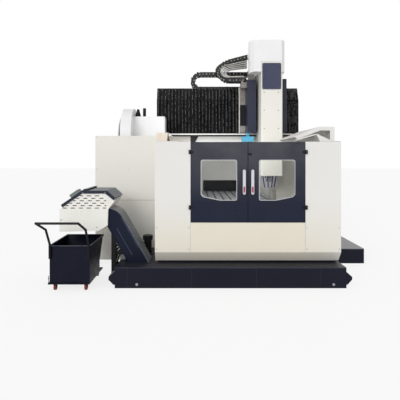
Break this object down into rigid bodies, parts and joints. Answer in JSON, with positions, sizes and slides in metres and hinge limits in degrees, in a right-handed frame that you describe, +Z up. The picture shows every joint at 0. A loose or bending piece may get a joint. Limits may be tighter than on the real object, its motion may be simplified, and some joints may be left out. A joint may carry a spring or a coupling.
{
  "type": "double-column vertical machining centre",
  "caption": "Double-column vertical machining centre with enclosure, pleated bellows, tool magazine, chip conveyor and chip cart.",
  "frame": {"origin": "on the floor below the meeting line of the two front doors, in the plane of the front panels", "axes": "+X to the right seen from the front, +Y to the back, +Z up"},
  "size_m": [5.455, 5.248, 4.39],
  "materials": {
    "cast_iron_paint": "light grey machine enamel",
    "ground_steel": "ground and oiled",
    "navy_paint": "semi-gloss navy enamel",
    "ivory_paint": "textured ivory powder coat",
    "grey_cover": "satin grey paint",
    "motor_paint": "grey-green paint",
    "black_steel": "satin black paint",
    "bellows_fabric": "coated fabric, glossy folds",
    "chain_plastic": "black moulded links",
    "table_iron": "scraped and ground",
    "saddle_iron": "grey-brown primer",
    "blue_plastic": "light blue",
    "hose_blue": "blue-violet jointed hose",
    "window_pane": "clear safety pane",
    "handle_metal": "silver with a red foot",
    "wheel_red": "red polyurethane"
  },
  "bodies": {
    "frame": {"bed": "cast_iron_paint", "bed_ways": "ground_steel", "levelling_feet": "ground_steel", "front_tank": "navy_paint", "conveyor_incline": "navy_paint", "conveyor_cover": "grey_cover", "discharge_hood": "ivory_paint", "hood_lid": "navy_paint", "conveyor_motors": "motor_paint", "conveyor_post": "black_steel", "coolant_pump": "black_steel", "side_tank": "navy_paint", "side_tank_lid": "grey_cover", "left_front_panel": "ivory_paint", "right_front_panel": "ivory_paint", "front_apron": "ivory_paint", "side_walls": "ivory_paint", "rear_wall": "ivory_paint", "roof_guards": "ivory_paint", "side_cabinet": "ivory_paint", "tool_magazine": "ivory_paint", "magazine_box": "ivory_paint", "tool_gripper": "black_steel", "columns": "cast_iron_paint", "crossbeam": "cast_iron_paint", "beam_rails": "ground_steel", "beam_ledge": "ivory_paint", "beam_bellows": "bellows_fabric", "lower_chain": "chain_plastic", "chain_tray": "ivory_paint", "hinge_blocks": "black_steel"},
    "table": {"work_table": "table_iron", "chip_guard": "black_steel"},
    "cross_slide": {"saddle": "saddle_iron", "saddle_guards": "navy_paint", "drip_tray": "blue_plastic", "upper_chain": "chain_plastic"},
    "head": {"ram": "ivory_paint", "head_housing": "ivory_paint", "ram_panel": "navy_paint", "coolant_nozzles": "hose_blue"},
    "spindle_nose": {"spindle": "ground_steel"},
    "left_door_leaf": {"left_door": "navy_paint", "left_window": "window_pane", "left_handle": "handle_metal", "left_knuckles": "black_steel"},
    "right_door_leaf": {"right_door": "navy_paint", "right_window": "window_pane", "right_handle": "handle_metal", "right_knuckles": "black_steel"},
    "cart": {"cart_hopper": "navy_paint", "cart_handle": "black_steel", "cart_base": "navy_paint", "caster_forks": "black_steel"},
    "front_axle": {"front_wheels": "wheel_red"},
    "rear_axle": {"rear_wheels": "wheel_red"}
  },
  "joints": [
    {"name": "left_door_hinge", "type": "hinge", "parent": "frame", "child": "left_door_leaf", "pos_m": [-0.921, -0.014, 1.63], "axis": [0, 0, -1], "range_deg": [0, 110]},
    {"name": "right_door_hinge", "type": "hinge", "parent": "frame", "child": "right_door_leaf", "pos_m": [0.921, -0.014, 1.63], "axis": [0, 0, 1], "range_deg": [0, 110]},
    {"name": "table_slide", "type": "slide", "parent": "frame", "child": "table", "axis": [0, 1, 0], "range_m": [-0.83, 0.83]},
    {"name": "saddle_slide", "type": "slide", "parent": "frame", "child": "cross_slide", "axis": [1, 0, 0], "range_m": [-1.45, 0.05], "deforming": ["beam_bellows", "lower_chain"]},
    {"name": "ram_slide", "type": "slide", "parent": "cross_slide", "child": "head", "axis": [0, 0, 1], "range_m": [-0.15, 0.5], "deforming": ["upper_chain"]},
    {"name": "spindle_spin", "type": "hinge", "parent": "head", "child": "spindle_nose", "pos_m": [0.7, 1.965, 1.55], "axis": [0, 0, 1], "continuous": true},
    {"name": "cart_roll", "type": "slide", "parent": "frame", "child": "cart", "axis": [0, -1, 0], "range_m": [0, 1]},
    {"name": "front_axle_spin", "type": "hinge", "parent": "cart", "child": "front_axle", "pos_m": [-2.75, -0.27, 0.048], "axis": [1, 0, 0], "continuous": true},
    {"name": "rear_axle_spin", "type": "hinge", "parent": "cart", "child": "rear_axle", "pos_m": [-2.75, 0.44, 0.048], "axis": [1, 0, 0], "continuous": true}
  ]
}
